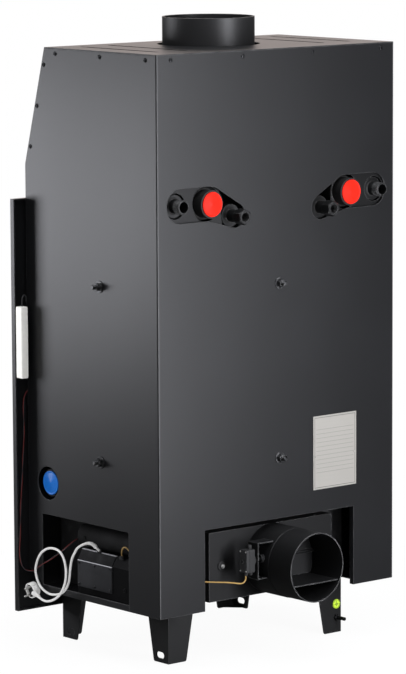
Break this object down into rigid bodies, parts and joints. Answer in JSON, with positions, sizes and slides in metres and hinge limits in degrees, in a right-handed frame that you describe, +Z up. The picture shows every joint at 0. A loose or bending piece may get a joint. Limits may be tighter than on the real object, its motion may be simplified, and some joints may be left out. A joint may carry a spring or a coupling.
{
  "type": "water jacket fireplace insert",
  "caption": "Tall black fireplace insert with a water-jacketed firebox, sheet casing with sloped hood, flue collar, rear air duct with motor damper, capped water sockets and sheet legs.",
  "frame": {"origin": "on the floor under the middle of the insert's bounding box, cords left out", "axes": "+Z up, -Y towards the door, +X towards the side with the service bay"},
  "size_m": [0.7429, 0.642, 1.365],
  "materials": {
    "casing_black": "fine satin powder coat",
    "boiler_black": "matt heat-proof paint",
    "screw_black": "black",
    "blank_plate": "brushed, bare",
    "zinc": "zinc plated",
    "earth_yellow": "printed disc",
    "brass_bolt": "plain",
    "copper_coil": "plain copper tube",
    "red_cap": "moulded",
    "blue_cap": "moulded",
    "fire_clay": "pressed",
    "cast_grate": "raw",
    "door_black": "satin",
    "door_glass": "heat-proof glass ceramic",
    "rope": "woven rope",
    "grip_wood": "oiled beech",
    "steel_clip": "plain",
    "motor_black": "moulded",
    "box_black": "satin",
    "cord_white": "soft plastic",
    "housing_white": "moulded",
    "wire_dark": "plain",
    "wire_tan": "plain",
    "cable_red": "plain"
  },
  "bodies": {
    "insert": {"side_panel_right": "casing_black", "side_panel_left": "casing_black", "back_panel": "casing_black", "top_cover": "casing_black", "hood_front": "casing_black", "panel_screws": "screw_black", "spacer_bolts": "screw_black", "rating_plate": "blank_plate", "base_plate": "boiler_black", "bay_trays": "casing_black", "rear_legs": "boiler_black", "front_legs": "boiler_black", "leg_bolts": "zinc", "earth_bolt": "brass_bolt", "earth_disc": "earth_yellow", "jacket_outer": "boiler_black", "jacket_inner": "boiler_black", "tube_plates": "boiler_black", "flame_tubes": "boiler_black", "smoke_box": "boiler_black", "boiler_front": "boiler_black", "flue_collar": "casing_black", "cooling_coil": "copper_coil", "supply_sockets": "boiler_black", "return_sockets": "boiler_black", "nipples": "boiler_black", "coil_fittings": "boiler_black", "red_caps": "red_cap", "blue_caps": "blue_cap", "firebox_lining": "fire_clay", "hearth_floor": "fire_clay", "grate": "cast_grate", "log_guard": "cast_grate", "baffle": "fire_clay", "front_plate": "casing_black", "door_brackets": "door_black", "air_box": "casing_black", "intake_duct": "casing_black", "duct_partition": "casing_black", "actuator_bracket": "casing_black", "actuator": "motor_black", "damper_cable": "wire_tan", "control_box": "box_black", "cable_glands": "motor_black", "drain_header": "boiler_black", "mains_cord": "cord_white", "mains_plug": "cord_white", "display_housing": "housing_white", "display_wire": "wire_dark", "sensor_cable": "cable_red"},
    "door": {"door_frame": "door_black", "door_glass": "door_glass", "glass_clips": "steel_clip", "door_seal": "rope"},
    "handle": {"door_handle": "door_black", "handle_grip": "grip_wood"},
    "slider": {"air_slider": "door_black"},
    "drawer": {"ash_drawer": "door_black"},
    "damper": {"damper_blade": "casing_black"}
  },
  "joints": [
    {"name": "door_hinge", "type": "hinge", "parent": "insert", "child": "door", "pos_m": [-0.268, -0.279, 0.557], "axis": [0, 0, -1], "range_deg": [0, 110]},
    {"name": "handle_turn", "type": "hinge", "parent": "door", "child": "handle", "pos_m": [0.238, -0.279, 0.557], "axis": [0, -1, 0], "range_deg": [0, 60]},
    {"name": "drawer_slide", "type": "slide", "parent": "insert", "child": "drawer", "axis": [0, -1, 0], "range_m": [0, 0.2]},
    {"name": "slider_shift", "type": "slide", "parent": "insert", "child": "slider", "axis": [1, 0, 0], "range_m": [-0.023, 0.023]},
    {"name": "damper_turn", "type": "hinge", "parent": "insert", "child": "damper", "pos_m": [0, 0.226, 0.223], "axis": [1, 0, 0], "range_deg": [0, 90]}
  ]
}
